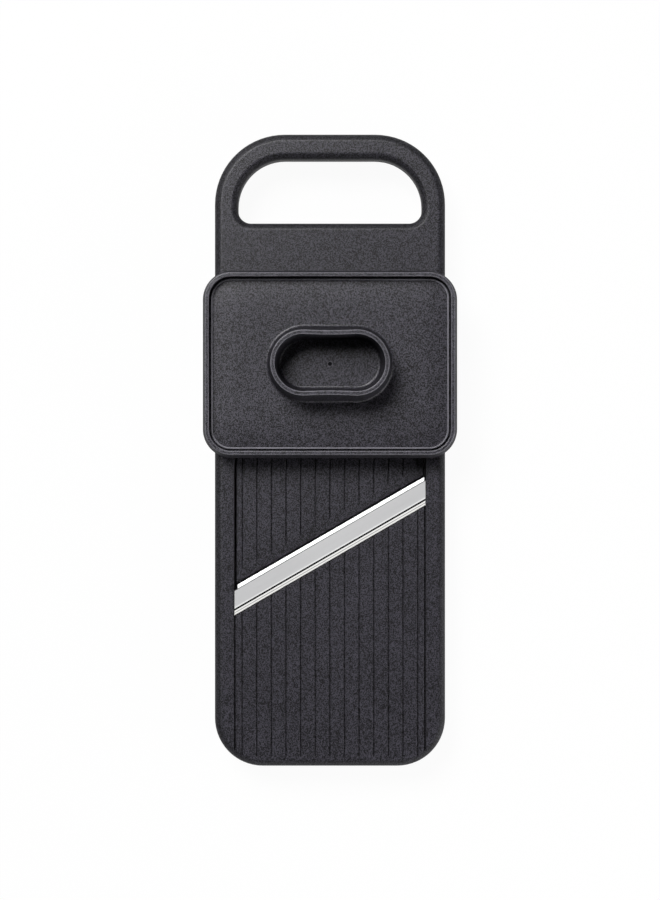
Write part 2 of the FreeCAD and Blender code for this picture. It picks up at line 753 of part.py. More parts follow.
def make_feet():
    # Soft foot with a plug that is pressed into its boss.
    plug_top = "(dim.foot_stand + dim.plug_length)"
    profile = (("0", "0"), ("dim.foot_radius - dim.foot_chamfer", "0"),
               ("dim.foot_radius", "dim.foot_chamfer"), ("dim.foot_radius", "dim.foot_stand"),
               ("dim.plug_radius", "dim.foot_stand"), ("dim.plug_radius", plug_top), ("0", plug_top))
    return [turned_piece("foot_" + name, profile, f"{side} * {foot_x}", y)
            for name, side, y in foot_stations]


def make_feed_plate():
    body = new_body("feed_plate")
    exit_line = "(-dim.throat)"
    strip_line = "(-dim.throat - dim.plain_strip)"
    outline = sketch_on(body, "XY_Plane", "plate_outline", plate_bottom)
    polygon(outline, ((f"-{plate_half}", behind_edge(f"-{plate_half}", exit_line)),
                      (plate_half, behind_edge(plate_half, exit_line)), (plate_half, plate_end),
                      (f"-{plate_half}", plate_end)))
    pad(body, outline, "dim.plate_thick")
    # Thin grooves, which a plain strip along the exit edge closes off.
    cut_grooves(body, "plate_groove", plate_top, behind_edge(f"-{plate_half}", "0"),
                f"{plate_end} - dim.groove_end")
    strip = sketch_on(body, "XY_Plane", "plain_strip", f"{plate_top} - dim.groove_depth")
    blade_strip(strip, plate_half, strip_line, exit_line)
    last = pad(body, strip, "dim.groove_depth")
    top = number(plate_top)
    side = number(plate_half)
    on_exit_line = blade_line(plate_top, exit_line)

    def is_long_edge(edge):
        box = edge.BoundBox
        at_side = abs(abs(box.XMin) - side) + abs(abs(box.XMax) - side) < slack
        return on_exit_line(edge) or at_level(edge, top) and at_side

    last = round_edges(body, last, "plate_top_round", "dim.plate_round", is_long_edge)
    bevel_edges(body, last, "plate_exit", "dim.exit_chamfer", blade_line(plate_bottom, exit_line))
    # Ribs, and the lugs that hold the carrying pins.
    ribs = sketch_on(body, "XY_Plane", "plate_ribs", f"{plate_bottom} - dim.plate_rib_drop")
    for place in (-1, 1):
        rectangle(ribs, f"{place} * dim.plate_rib_x - dim.rib_thick / 2",
                  f"{place} * dim.plate_rib_x + dim.rib_thick / 2",
                  behind_edge(f"{place} * dim.plate_rib_x", f"{strip_line} - dim.plain_strip"),
                  f"{plate_end} - dim.pin_rear")
    pad(body, ribs, "dim.plate_rib_drop")
    for name, side, y in pin_stations:
        lug = sketch_on(body, "XY_Plane", "lug_" + name, f"{plate_bottom} - {lug_drop}")
        near = f"{side} * ({lug_out} - dim.lug_thick)"
        far = f"{side} * {lug_out}"
        rectangle(lug, near, far, f"{y} - {lug_half}", f"{y} + {lug_half}")
        pad(body, lug, lug_drop)
        bore = sketch_on(body, "YZ_Plane", "lug_bore_" + name, f"{side} * ({lug_out} - dim.lug_thick / 2)")
        circle(bore, y, pin_level, "dim.pin_radius + dim.fit")
        pocket(body, bore, "dim.lug_thick + dim.run_gap", both_ways=True)
    return body


def make_feed_pins():
    # Steel dowels pressed outwards through the lugs, through the guide slots, into the slider's cheeks.
    pins = []
    length = f"({cheek_out} - {lug_out} + dim.lug_thick - dim.run_gap)"
    for name, side, y in pin_stations:
        body = new_body("feed_pin_" + name)
        start = f"{side} * ({lug_out} - dim.lug_thick)"
        round_end = sketch_on(body, "YZ_Plane", "pin_round_" + name, start)
        circle(round_end, y, pin_level, "dim.pin_radius")
        last = pad(body, round_end, length, backwards=side < 0)
        bevel_edges(body, last, "pin_ends_" + name, "dim.pin_chamfer", lambda edge: edge.Closed)
        pins.append(body)
    return pins


def make_slider():
    # Two cheeks that run inside the rails, joined by a panel under the feed plate with a ribbed thumb grip.
    body = new_body("thickness_slider")
    section = sketch_on(body, "XZ_Plane", "slider_section", f"-({cheek_rear_end})")
    polygon(section, ((f"-{cheek_out}", slider_low), (cheek_out, slider_low), (cheek_out, cheek_top),
                      (cheek_in, cheek_top), (cheek_in, panel_top), (f"-{cheek_in}", panel_top),
                      (f"-{cheek_in}", cheek_top), (f"-{cheek_out}", cheek_top)))
    pad(body, section, f"{cheek_rear_end} - {cheek_front_end}")
    openings = sketch_on(body, "XY_Plane", "slider_openings", panel_top)
    rectangle(openings, f"-{cheek_in}", cheek_in, panel_rear_end, f"{cheek_rear_end} + dim.overcut")
    rectangle(openings, f"-{cheek_in}", cheek_in, f"{cheek_front_end} - dim.overcut", panel_front_end)
    pocket(body, openings, "dim.panel_thick")
    grip = sketch_on(body, "XY_Plane", "grip_rib", slider_low)
    first = f"(({panel_rear_end} + {panel_front_end}) / 2 - (dim.grip_count - 1) / 2 * dim.grip_pitch)"
    rectangle(grip, "-dim.grip_length / 2", "dim.grip_length / 2", f"{first} - dim.grip_width / 2",
              f"{first} + dim.grip_width / 2")
    ridge = pad(body, grip, "dim.grip_height", backwards=True)
    repeat(body, ridge, "Y_Axis", "(dim.grip_count - 1) * dim.grip_pitch", "dim.grip_count")
    half = "(dim.pin_radius + dim.pin_play)"
    high_z = f"({pin_level} + {lift_up})"
    low_z = f"({pin_level} - {lift_down})"
    for name, side, y in pin_stations:
        level = f"{side} * ({cheek_in} + dim.cheek_thick / 2)"
        high_y = f"({y} - {slot_ahead})"
        low_y = f"({y} + {slot_back})"
        lean = "sqrt(1 + dim.slot_slope ^ 2)"
        along = f"({half} * dim.slot_slope / {lean})"
        up = f"({half} / {lean})"
        run = sketch_on(body, "YZ_Plane", "slot_" + name, level)
        polygon(run, ((f"{high_y} - {along}", f"{high_z} - {up}"), (f"{low_y} - {along}", f"{low_z} - {up}"),
                      (f"{low_y} + {along}", f"{low_z} + {up}"), (f"{high_y} + {along}", f"{high_z} + {up}")))
        pocket(body, run, "dim.cheek_thick + dim.run_gap", both_ways=True)
        for end, end_y, end_z in (("high", high_y, high_z), ("low", low_y, low_z)):
            tip = sketch_on(body, "YZ_Plane", f"slot_{end}_{name}", level)
            circle(tip, end_y, end_z, half)
            pocket(body, tip, "dim.cheek_thick + dim.run_gap", both_ways=True)
    return body


def guard_outline(sketch, inset):
    x = f"({guard_x} - {inset})"
    y = f"({guard_y} - {inset})"
    corner = f"dim.guard_corner - {inset}"
    rounded(sketch, f"-{x}", x, f"-{y}", y, corner, corner)


def make_guard_tray(body):
    # Tray with a drafted rim, a narrow seam inside it, and a bead round the floor. Hollow from below.
    outer = sketch_on(body, "XY_Plane", "guard_outline", skirt_low)
    guard_outline(outer, "0")
    pad(body, outer, f"{rim_top} - {skirt_low}", taper="-dim.guard_draft")
    well = sketch_on(body, "XY_Plane", "guard_well", rim_top)
    guard_outline(well, rim_wide)
    pocket(body, well, "dim.rim_height + dim.seam_deep")
    bead = sketch_on(body, "XY_Plane", "guard_bead", f"{floor_top} - dim.seam_deep")
    guard_outline(bead, f"({rim_wide} + dim.seam_wide)")
    pad(body, bead, "dim.seam_deep + dim.bead_high")
    floor = sketch_on(body, "XY_Plane", "guard_floor", f"{floor_top} + dim.bead_high")
    guard_outline(floor, f"({rim_wide} + dim.seam_wide + dim.bead_wide)")
    last = pocket(body, floor, "dim.bead_high")
    rim_level = number(rim_top)
    bead_level = number(f"{floor_top} + dim.bead_high")
    last = round_edges(body, last, "rim_crest", "dim.rim_round", lambda edge: at_level(edge, rim_level))
    round_edges(body, last, "bead_crest", "dim.bead_round", lambda edge: at_level(edge, bead_level))
    under = sketch_on(body, "XY_Plane", "guard_underside", skirt_low)
    guard_outline(under, "dim.skirt_wall")
    pocket(body, under, f"{floor_under} - {skirt_low}", backwards=True)


def make_guard_skirts(body):
    # Side skirts that hang past the rails, guide ribs inside them, and the runners that stand on the rails.
    skirts = sketch_on(body, "XY_Plane", "side_skirts", side_low)
    runners = sketch_on(body, "XY_Plane", "runners", f"{rail_top} + dim.runner_gap")
    guides = sketch_on(body, "XY_Plane", "guide_ribs", side_low)
    skirt_run = f"({guard_y} - dim.guard_corner)"
    runner_run = f"({guard_y} - dim.runner_inset)"
    first = "(-(dim.guide_count - 1) / 2 * dim.guide_pitch)"
    spans = ((f"({guard_x} - dim.skirt_wall)", guard_x, skirts, f"-{skirt_run}", skirt_run),
             (f"({channel} + dim.runner_set)", f"({channel} + dim.runner_set + dim.runner_thick)", runners,
              f"-{runner_run}", runner_run),
             (f"({half_width} + dim.guide_gap)", f"({guard_x} - dim.skirt_wall / 2)", guides,
              f"{first} - dim.guide_thick / 2", f"{first} + dim.guide_thick / 2"))
    for near, far, sketch, low, high in spans:
        rectangle(sketch, near, far, low, high)
        rectangle(sketch, f"-{far}", f"-{near}", low, high)
    last = pad(body, skirts, f"{skirt_low} - {side_low}")
    low_level = number(side_low)
    skirt_end = number(skirt_run)

    def is_skirt_corner(edge):
        return at_level(edge, low_level) and abs(abs(edge.CenterOfMass.y) - skirt_end) < slack

    round_edges(body, last, "skirt_corners", "dim.skirt_round", is_skirt_corner)
    pad(body, runners, f"{floor_under} - {rail_top} - dim.runner_gap")
    ribs = pad(body, guides, f"{floor_under} - {side_low}")
    repeat(body, ribs, "Y_Axis", "(dim.guide_count - 1) * dim.guide_pitch", "dim.guide_count")


def make_finger_cup(body):
    # Oblong cup: the outside narrows upwards, the inside narrows downwards, and the long sides are drawn in.
    root = sketch_on(body, "XY_Plane", "cup_root", floor_top)
    oval(root, "dim.cup_length", "dim.cup_width")
    crest = sketch_on(body, "XY_Plane", "cup_crest", cup_top)
    crest_length = "(dim.cup_length - 2 * dim.cup_lean_end)"
    crest_width = "(dim.cup_width - 2 * dim.cup_lean_side)"
    oval(crest, crest_length, crest_width, "dim.cup_pinch")
    outside = body.newObject("PartDesign::AdditiveLoft", "cup_outside")
    outside.Profile = root
    outside.Sections = [crest]
    mouth = sketch_on(body, "XY_Plane", "cup_mouth", cup_top)
    mouth_length = f"({crest_length} - 2 * {cup_wall})"
    mouth_width = f"({crest_width} - 2 * {cup_wall})"
    oval(mouth, mouth_length, mouth_width, "dim.cup_pinch")
    base = sketch_on(body, "XY_Plane", "cup_base", floor_top)
    oval(base, f"({mouth_length} - 2 * dim.cup_draft)", f"({mouth_width} - 2 * dim.cup_draft)")
    inside = body.newObject("PartDesign::SubtractiveLoft", "cup_inside")
    inside.Profile = mouth
    inside.Sections = [base]
    body.Tip = inside
    crest_level = number(cup_top)
    root_level = number(floor_top)
    root_half = number("dim.cup_width / 2")
    root_reach = number("dim.cup_length / 2")

    def is_root(edge):
        box = edge.BoundBox
        reach = max(abs(box.XMin), abs(box.XMax))
        outer = max(reach, abs(box.YMin), abs(box.YMax)) > root_half - slack
        return at_level(edge, root_level) and outer and reach < root_reach + slack

    last = round_edges(body, inside, "cup_rim_round", "dim.cup_round",
                       lambda edge: at_level(edge, crest_level))
    round_edges(body, last, "cup_root_round", "dim.cup_root", is_root)
    gate = sketch_on(body, "XY_Plane", "mould_gate", floor_top)
    circle(gate, "0", "0", "dim.gate_radius")
    pocket(body, gate, "dim.gate_depth")


def spike_field(body, feature):
    # The same field of places for the bosses, their bores and the spikes.
    across = "(dim.spike_column_count - 1) * dim.spike_pitch"
    along = "(dim.spike_row_count - 1) * dim.spike_pitch"
    return repeat(body, feature, "X_Axis", across, "dim.spike_column_count",
                  ("Y_Axis", along, "dim.spike_row_count"))


def make_guard():
    body = new_body("guard_tray")
    make_guard_tray(body)
    make_guard_skirts(body)
    make_finger_cup(body)
    boss = sketch_on(body, "XY_Plane", "spike_boss", floor_under)
    circle(boss, spike_x, spike_y, "dim.spike_boss_radius")
    spike_field(body, pad(body, boss, "dim.spike_boss_drop", backwards=True))
    bore = sketch_on(body, "XY_Plane", "spike_bore", f"{floor_under} - dim.spike_boss_drop")
    circle(bore, spike_x, spike_y, "dim.spike_radius + dim.fit")
    spike_field(body, pocket(body, bore, "dim.spike_boss_drop + dim.spike_seat + dim.fit", backwards=True))
    body.setExpression("Placement.Base.y", guard_middle)
    return body


def make_food_pins():
    # Pointed steel pins in the guard's floor, one solid for each.
    tip_top = f"({spike_low} + dim.spike_tip)"
    seat_top = f"({floor_under} + dim.spike_seat)"
    profile = (("0", spike_low), ("dim.spike_radius", tip_top), ("dim.spike_radius", seat_top),
               ("0", seat_top))
    body = turned_piece("food_pins", profile, spike_x, f"{guard_middle} + {spike_y}")
    spike_field(body, body.Tip)
    return body


def check_document(pieces):
    # Nothing may have failed, every pad adds, every cut takes away, and every piece is a valid solid.
    for item in doc.Objects:
        faults = [state for state in item.State if state in ("Invalid", "Error")]
        if faults:
            raise RuntimeError("%s failed to build: %s" % (item.Label, faults))
        base = getattr(item, "BaseFeature", None)
        gain = item.Shape.Volume - base.Shape.Volume if base else 0
        if base and item.TypeId == "PartDesign::Pad" and gain < slack:
            raise RuntimeError("%s adds nothing" % item.Label)
        if base and item.TypeId == "PartDesign::Pocket" and gain > -slack:
            raise RuntimeError("%s cuts nothing" % item.Label)
    for piece in pieces:
        if piece.Shape.isNull() or not piece.Shape.isValid():
            raise RuntimeError("%s has no valid shape" % piece.Label)


pieces = [make_frame(), make_feed_plate(), make_blade(), make_bridge(), make_slider(), make_guard(),
          make_food_pins()]
pieces += make_rivets() + make_feed_pins() + make_feet()
doc.recompute()
check_document(pieces)
os.makedirs("parts", exist_ok=True)
for piece in pieces:
    piece.Shape.exportStep("parts/%s.step" % piece.Label)
    print(piece.Label, len(piece.Shape.Solids), "solid", round(piece.Shape.Volume), "mm3")
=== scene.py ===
import math

import bpy
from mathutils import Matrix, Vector

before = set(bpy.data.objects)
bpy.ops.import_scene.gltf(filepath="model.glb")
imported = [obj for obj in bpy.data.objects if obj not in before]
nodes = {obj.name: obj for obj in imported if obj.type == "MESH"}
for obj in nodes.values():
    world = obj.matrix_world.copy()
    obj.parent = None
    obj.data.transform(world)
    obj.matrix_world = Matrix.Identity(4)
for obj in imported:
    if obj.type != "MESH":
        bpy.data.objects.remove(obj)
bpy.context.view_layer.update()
scene = bpy.context.scene
print("frame loaded:", len(nodes), "nodes")


def linear(hexColour):
    # sRGB hex to the linear colour that the shaders take
    parts = [int(hexColour[start:start + 2], 16) / 255 for start in (1, 3, 5)]
    return tuple(c / 12.92 if c <= 0.04045 else ((c + 0.055) / 1.055) ** 2.4 for c in parts) + (1,)


def metres(millimetres):
    return millimetres / 1000


def perMetre(millimetres):
    # texture scale that gives a pattern of this size
    return 1000 / millimetres


def addNode(tree, kind, inputs=None, stops=None, **settings):
    # inputs: a number, a colour or another node's socket for each of the node's own sockets
    node = tree.nodes.new(kind)
    for name, value in settings.items():
        setattr(node, name, value)
    for place, (spot, shade) in enumerate(stops or ()):  # stops of a colour ramp
        ramp = node.color_ramp.elements
        stop = ramp[place] if place < len(ramp) else ramp.new(spot)
        stop.position = spot
        stop.color = linear(shade)
    for name, value in (inputs or {}).items():
        if isinstance(value, bpy.types.NodeSocket):
            tree.links.new(value, node.inputs[name])
        else:
            node.inputs[name].default_value = value
    return node


def addMath(tree, operation, *values, **settings):
    node = addNode(tree, "ShaderNodeMath", dict(enumerate(values)), operation=operation, **settings)
    return node.outputs[0]


def addVectorMath(tree, operation, first, second, result="Vector"):
    # result: "Value" where the answer is one number
    node = addNode(tree, "ShaderNodeVectorMath", {0: first, 1: second}, operation=operation)
    return node.outputs[result]


def addRange(tree, value, low, high, first=0, last=1):
    # first where the value is low, last where it is high
    node = addNode(tree, "ShaderNodeMapRange", {"Value": value, "From Min": low, "From Max": high,
                                                "To Min": first, "To Max": last})
    return node.outputs["Result"]


def addRamp(tree, value, stops):
    return addNode(tree, "ShaderNodeValToRGB", {"Fac": value}, stops=stops).outputs["Color"]


def addMix(tree, share, first, second):
    node = addNode(tree, "ShaderNodeMixRGB", {"Fac": share, "Color1": first, "Color2": second})
    return node.outputs["Color"]


def addNoise(tree, place, scale, detail):
    node = addNode(tree, "ShaderNodeTexNoise", {"Vector": place, "Scale": scale, "Detail": detail})
    return node.outputs["Fac"]


def addLines(tree, place, turn, sizes):
    # place turned so that the pattern runs along the piece, and stretched to these sizes
    along = addNode(tree, "ShaderNodeMapping", {"Vector": place, "Rotation": (0, 0, -turn)})
    lines = addNode(tree, "ShaderNodeMapping", {"Vector": along.outputs["Vector"], "Scale": sizes})
    return lines.outputs["Vector"]


def addBump(tree, height, strength, depth, normal=None, **settings):
    # depth in mm
    inputs = {"Height": height, "Strength": strength, "Distance": metres(depth)}
    if normal is not None:
        inputs["Normal"] = normal
    return addNode(tree, "ShaderNodeBump", inputs, **settings).outputs["Normal"]


def addAxes(tree, vector):
    return addNode(tree, "ShaderNodeSeparateXYZ", {"Vector": vector}).outputs


def newMaterial(name):
    material = bpy.data.materials.new(name)
    material.use_nodes = True
    tree = material.node_tree
    tree.nodes.clear()
    shader = addNode(tree, "ShaderNodeBsdfPrincipled")
    addNode(tree, "ShaderNodeOutputMaterial", {"Surface": shader.outputs["BSDF"]})
    return material, tree, shader


def setSurface(tree, shader, colour, roughness, normal):
    tree.links.new(colour, shader.inputs["Base Color"])
    tree.links.new(roughness, shader.inputs["Roughness"])
    tree.links.new(normal, shader.inputs["Normal"])


def setOutput(tree, share, first, second):
    # the material's surface is a mix of two shaders
    mix = addNode(tree, "ShaderNodeMixShader", {0: share, 1: first, 2: second})
    tree.links.new(mix.outputs[0], tree.nodes["Material Output"].inputs["Surface"])


# Black polypropylene, moulded in a spark-eroded tool: matt, with a fine pitted grain that breaks the
# light into speckles, and slow cloudy changes where the melt flowed. Steep walls and roundings are rougher,
# with less glare, and their colour is darkened as painted shade.
mouldedBlack = dict(
    deep="#030304",
    pale="#44424b",
    spread=(0.45, 0.72),  # tones between which the speckles turn from deep to pale
    grain=0.38,  # mm
    pits=0.34,  # mm
    pitShare=0.4,  # of the relief
    clouds=28,  # mm
    cloudShare=0.12,  # of the tone
    roughness=0.38,
    glare=0.5,
    ior=1.49,
    # shade: painted shade, the share of colour left on steep walls and roundings
    wall=dict(low=0.965, high=0.999, roughness=0.6, glare=0.3, shade=0.5),  # low, high: normal's upward part
    grainDepth=0.05,  # mm
    softEdge=0.25,  # mm
    edgeSamples=4,
)
# The guard's floor is a little fuller in the middle, and falls away to the bead along its edges. Its thin
# edges are burnished smooth by the hand that pushes it, and where they face up they are painted pale, a
# painted highlight.
guardBlackLook = dict(
    mouldedBlack,
    pale="#4e4c55",
    # shade: painted shade, the share of colour left on the guard's steep walls
    wall=dict(low=0.2, high=0.7, roughness=0.7, glare=0.15, shade=0.55),
    crown=dict(middle=44.5, half=(60.3, 42.9), margin=16, drop=0.45, bend=2),  # mm, bend is a power
    # shade: pale colour on the worn edges that face up, a painted highlight
    burnishAndHighlight=dict(shade="#b4b2bc", roughness=0.24, width=0.52, samples=6,  # width in mm
                 closed=0.95, open=0.7),  # share of the rays that stay inside, off the edge and at it
    # the small pit in the cup where the melt came in is painted dark: painted shade
    gate=dict(middle=44.5, radius=1, rim=1.5, shade=0.03),  # mm, mark in the cup where the melt came in
)


def addCrown(tree, place, crown, normal):
    # height that falls by the drop over the margin, along each side of the floor
    axes = addAxes(tree, place)
    falls = []
    for axis, half, middle in (("X", crown["half"][0], 0), ("Y", crown["half"][1], crown["middle"])):
        reach = addMath(tree, "ABSOLUTE", addMath(tree, "SUBTRACT", axes[axis], metres(middle)))
        near = addRange(tree, reach, metres(half - crown["margin"]), metres(half))
        falls.append(addMath(tree, "POWER", near, crown["bend"]))
    fallen = addMath(tree, "ADD", *falls)
    return addBump(tree, fallen, 1, crown["drop"], normal, invert=True)


def addGatePitShade(tree, place, gate):
    # how much colour and glare is left: painted shade in the small pit of the gate mark
    level = addVectorMath(tree, "MULTIPLY", place, (1, 1, 0))
    reach = addVectorMath(tree, "DISTANCE", level, (0, metres(gate["middle"]), 0), "Value")
    return addRange(tree, reach, metres(gate["radius"]), metres(gate["rim"]), gate["shade"])


def addBurnishAndHighlight(tree, upper, burnishAndHighlight):
    # how worn, which also sets a painted highlight: at an edge, rays inside the wall soon come out
    # again, and the hand wears those that face up
    inner = addNode(tree, "ShaderNodeAmbientOcclusion", {"Distance": metres(burnishAndHighlight["width"])}, inside=True,
                    only_local=True, samples=burnishAndHighlight["samples"])
    edge = addRange(tree, inner.outputs["AO"], burnishAndHighlight["closed"], burnishAndHighlight["open"])
    return addMath(tree, "MULTIPLY", edge, upper)


def makeMouldedBlack(name, look):
    material, tree, shader = newMaterial(name)
    spot = addNode(tree, "ShaderNodeTexCoord").outputs
    place = spot["Object"]
    cells = {"Vector": place, "Scale": perMetre(look["grain"])}
    grain = addNode(tree, "ShaderNodeTexVoronoi", cells).outputs
    pits = addNoise(tree, place, perMetre(look["pits"]), detail=1)
    clouds = addNoise(tree, place, perMetre(look["clouds"]), detail=2)
    height = addMath(tree, "MULTIPLY_ADD", pits, look["pitShare"], grain["Distance"])
    tone = addMath(tree, "MULTIPLY_ADD", clouds, look["cloudShare"], grain["Color"])
    speckle = addRamp(tree, tone, tuple(zip(look["spread"], (look["deep"], look["pale"]))))
    wall = look["wall"]
    level = addMath(tree, "ABSOLUTE", addAxes(tree, spot["Normal"])["Z"])
    steep = (level, wall["low"], wall["high"])
    matt = addRange(tree, *steep, wall["roughness"], look["roughness"])
    shine = addRange(tree, *steep, wall["glare"], look["glare"])
    # painted shade: the colour is darkened on steep walls and roundings
    colour = addVectorMath(tree, "MULTIPLY", speckle, addRange(tree, *steep, wall["shade"]))
    grainLeft = 1
    if "burnishAndHighlight" in look:
        burnishAndHighlight = look["burnishAndHighlight"]
        wornAndHighlit = addBurnishAndHighlight(tree, addRange(tree, *steep), burnishAndHighlight)
        # painted highlight: the worn edges that face up are made paler
        colour = addMix(tree, wornAndHighlit, colour, linear(burnishAndHighlight["shade"]))
        matt = addRange(tree, wornAndHighlit, 0, 1, matt, burnishAndHighlight["roughness"])
        grainLeft = addMath(tree, "SUBTRACT", 1, wornAndHighlit)
    if "gate" in look:
        # painted shade: the gate's small pit is darkened in colour and glare
        light = addGatePitShade(tree, place, look["gate"])
        colour = addVectorMath(tree, "MULTIPLY", colour, light)
        shine = addMath(tree, "MULTIPLY", shine, light)
    soft = addNode(tree, "ShaderNodeBevel", {"Radius": metres(look["softEdge"])},
                   samples=look["edgeSamples"])
    normal = soft.outputs["Normal"]
    if "crown" in look:
        normal = addCrown(tree, place, look["crown"], normal)
    setSurface(tree, shader, colour, matt, addBump(tree, height, grainLeft, look["grainDepth"], normal))
    tree.links.new(shine, shader.inputs["Specular IOR Level"])
    shader.inputs["IOR"].default_value = look["ior"]
    return material


# Stainless strip, satin ground along its length, with a bright ground bevel at the edge. A dark line
# marks where the bevel ends, and a painted highlight runs along the strip's back edge.
groundBlade = dict(
    flat="#ebebec",
    bright="#e6e6e5",
    scratch=0.5,  # mm between grinding lines, real ones are about 0.05
    scratchLength=40,  # mm
    scratchShare=0.12,  # of the roughness
    scratchStrength=0.25,
    scratchDepth=0.02,  # mm
    roughness=0.44,
    bevelRoughness=0.5,
    angle=30,  # degrees across the body
    bevel=1.6,  # mm, width of the ground bevel
    bevelStep=0.1,  # mm over which the finish changes
    bevelLine=0.6,  # mm over which the dark line fades
    lineShades=((0.25, "#6f6f70"), (0.55, "#8c8c8b")),
    edgeAtMiddle=-42.2,  # mm, where the cutting edge crosses the body's middle
    # painted highlight along the back edge: white, and a little rougher
    back=dict(start=9, end=9.7, shade="#ffffff", roughness=0.52),  # mm behind the edge
)


def addDistanceBehind(tree, place, blade):
    # metres behind the cutting edge, square to it
    turn = math.radians(blade["angle"])
    behind = addVectorMath(tree, "DOT_PRODUCT", place, (math.sin(turn), -math.cos(turn), 0), "Value")
    return addMath(tree, "ADD", behind, metres(blade["edgeAtMiddle"]) * math.cos(turn))


def makeGroundBlade(name, look):
    material, tree, shader = newMaterial(name)
    place = addNode(tree, "ShaderNodeTexCoord").outputs["Object"]
    sizes = (perMetre(look["scratchLength"]), perMetre(look["scratch"]), 1)
    lines = addLines(tree, place, math.radians(look["angle"]), sizes)
    scratch = addNoise(tree, lines, scale=1, detail=3)
    depth = addDistanceBehind(tree, place, look)
    bevelEnd = metres(look["bevel"])
    zone = addRange(tree, depth, bevelEnd, bevelEnd + metres(look["bevelStep"]))
    step = addRange(tree, depth, bevelEnd, bevelEnd + metres(look["bevelLine"]))
    back = addRange(tree, depth, metres(look["back"]["start"]), metres(look["back"]["end"]))
    colour = addRamp(tree, step, ((0, look["bright"]), *look["lineShades"], (1, look["flat"])))
    # painted highlight: the strip turns white along its back edge
    colour = addMix(tree, back, colour, linear(look["back"]["shade"]))
    gloss = addRange(tree, zone, 0, 1, look["bevelRoughness"], look["roughness"])
    gloss = addRange(tree, back, 0, 1, gloss, look["back"]["roughness"])
    gloss = addMath(tree, "MULTIPLY_ADD", scratch, look["scratchShare"], gloss)
    normal = addBump(tree, scratch, look["scratchStrength"], look["scratchDepth"])
    setSurface(tree, shader, colour, gloss, normal)
    shader.inputs["Metallic"].default_value = 1
    return material


# Steel drawn through a die or rolled to a bar, with faint lines along it: bright pins, and pins and bars
# that keep a dark oxide skin. Below its lip the bar's dark colour also fills the seam behind the blade,
# where it is painted shade. The lip is ground bright above the blade's seat, with a darker line along its
# middle.
drawnSteel = dict(
    dull="#c4c4c4",
    bright="#ececea",
    spread=(0.3, 0.65),
    line=0.4,  # mm
    lineLength=15,  # mm
    lineShare=0.14,  # of the roughness
    lineStrength=0.2,
    lineDepth=0.02,  # mm
    roughness=0.3,
)
# dark oxide skin; on the bar below its lip it is also painted shade in the seam behind the blade
darkOxideAndSeamShade = dict(drawnSteel, dull="#161617", bright="#2b2b2c", roughness=0.45)
groundLip = dict(
    shade="#fffefc",
    line="#77757a",
    lineSpread=(0.4, 0.5, 0.6),
    roughness=0.57,
    low=20.6,  # mm, height of the lip's foot
    start=10.9,  # mm behind the edge
    end=12.9,  # mm
)


def makeDrawnSteel(name, look, turn, lip=None):
    material, tree, shader = newMaterial(name)
    place = addNode(tree, "ShaderNodeTexCoord").outputs["Object"]
    sizes = (perMetre(look["lineLength"]), perMetre(look["line"]), perMetre(look["line"]))
    lines = addLines(tree, place, math.radians(turn), sizes)
    grain = addNoise(tree, lines, scale=1, detail=2)
    colour = addRamp(tree, grain, tuple(zip(look["spread"], (look["dull"], look["bright"]))))
    smoothest = look["roughness"] - look["lineShare"] / 2
    gloss = addMath(tree, "MULTIPLY_ADD", grain, look["lineShare"], smoothest)
    setSurface(tree, shader, colour, gloss, addBump(tree, grain, look["lineStrength"], look["lineDepth"]))
    shader.inputs["Metallic"].default_value = 1
    if lip:
        # below the lip the bar keeps its dark colour, painted shade in the seam behind the blade
        above = addMath(tree, "GREATER_THAN", addAxes(tree, place)["Z"], metres(lip["low"]))
        behind = addDistanceBehind(tree, place, groundBlade)
        share = addRange(tree, behind, metres(lip["start"]), metres(lip["end"]))
        # a darker line along the lip's middle, between two pale bands
        shades = (lip["shade"], lip["line"], lip["shade"])
        lipTones = addRamp(tree, share, tuple(zip(lip["lineSpread"], shades)))
        ground = addNode(tree, "ShaderNodeBsdfPrincipled", {"Base Color": lipTones, "Metallic": 1,
                                                            "Roughness": lip["roughness"]})
        setOutput(tree, above, shader.outputs["BSDF"], ground.outputs["BSDF"])
    return material


# Soft rubber, moulded against a blasted tool: very matt, with a bloom that greys it.
mouldedRubber = dict(
    deep="#121213",
    pale="#232324",
    spread=(0.35, 0.75),
    grain=0.5,  # mm
    grainStrength=0.5,
    grainDepth=0.05,  # mm
    roughness=0.8,
    roughnessSpread=0.1,
    ior=1.52,
)


def makeMouldedRubber(name, look):
    material, tree, shader = newMaterial(name)
    place = addNode(tree, "ShaderNodeTexCoord").outputs["Object"]
    grain = addNoise(tree, place, perMetre(look["grain"]), detail=3)
    colour = addRamp(tree, grain, tuple(zip(look["spread"], (look["deep"], look["pale"]))))
    gloss = addRange(tree, grain, 0, 1, look["roughness"] - look["roughnessSpread"],
                     look["roughness"] + look["roughnessSpread"])
    setSurface(tree, shader, colour, gloss, addBump(tree, grain, look["grainStrength"], look["grainDepth"]))
    shader.inputs["IOR"].default_value = look["ior"]
    return material


def dress(material, *names):
    for name in names:
        mesh = nodes[name].data
        mesh.materials.clear()
        mesh.materials.append(material)


